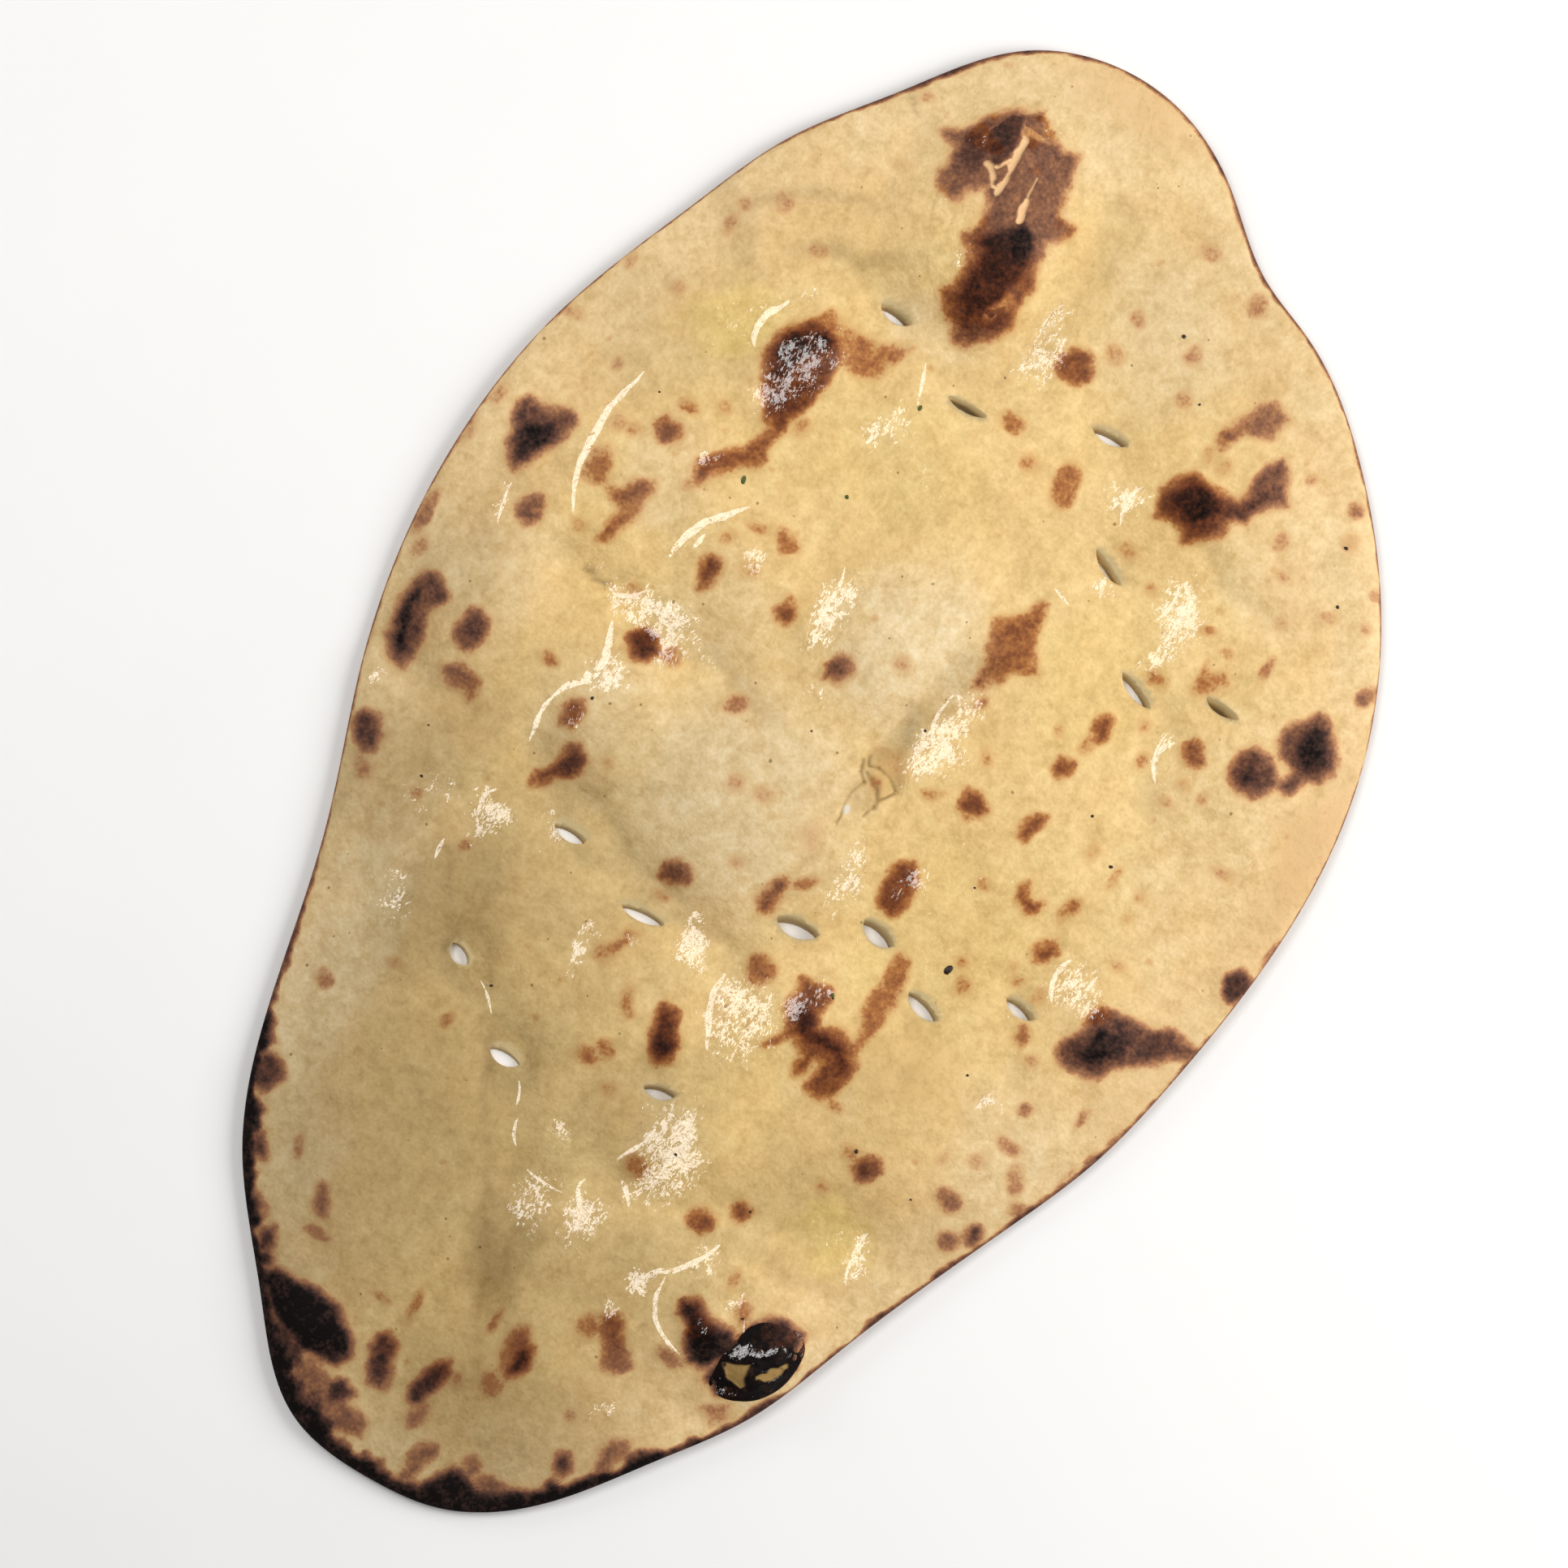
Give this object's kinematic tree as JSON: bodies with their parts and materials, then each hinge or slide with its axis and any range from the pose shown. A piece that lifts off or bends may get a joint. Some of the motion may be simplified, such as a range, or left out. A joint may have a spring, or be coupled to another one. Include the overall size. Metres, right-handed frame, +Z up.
{
  "type": "butter tandoori roti",
  "caption": "Long oval hand-stretched flatbread with puffed blisters, charred spots, docking slits and a buttery crust, lying flat to be served or torn.",
  "frame": {"origin": "under the middle of the bread's outline, on the surface it lies on", "axes": "+Y along the bread towards its wide rounded end, +X across it, +Z up out of the buttered face"},
  "size_m": [0.1694, 0.28, 0.0087],
  "materials": {
    "baked_dough": "baked wheat crust with brown char spots and a thin, patchy film of butter"
  },
  "bodies": {
    "root": {"roti": "baked_dough"}
  },
  "joints": []
}
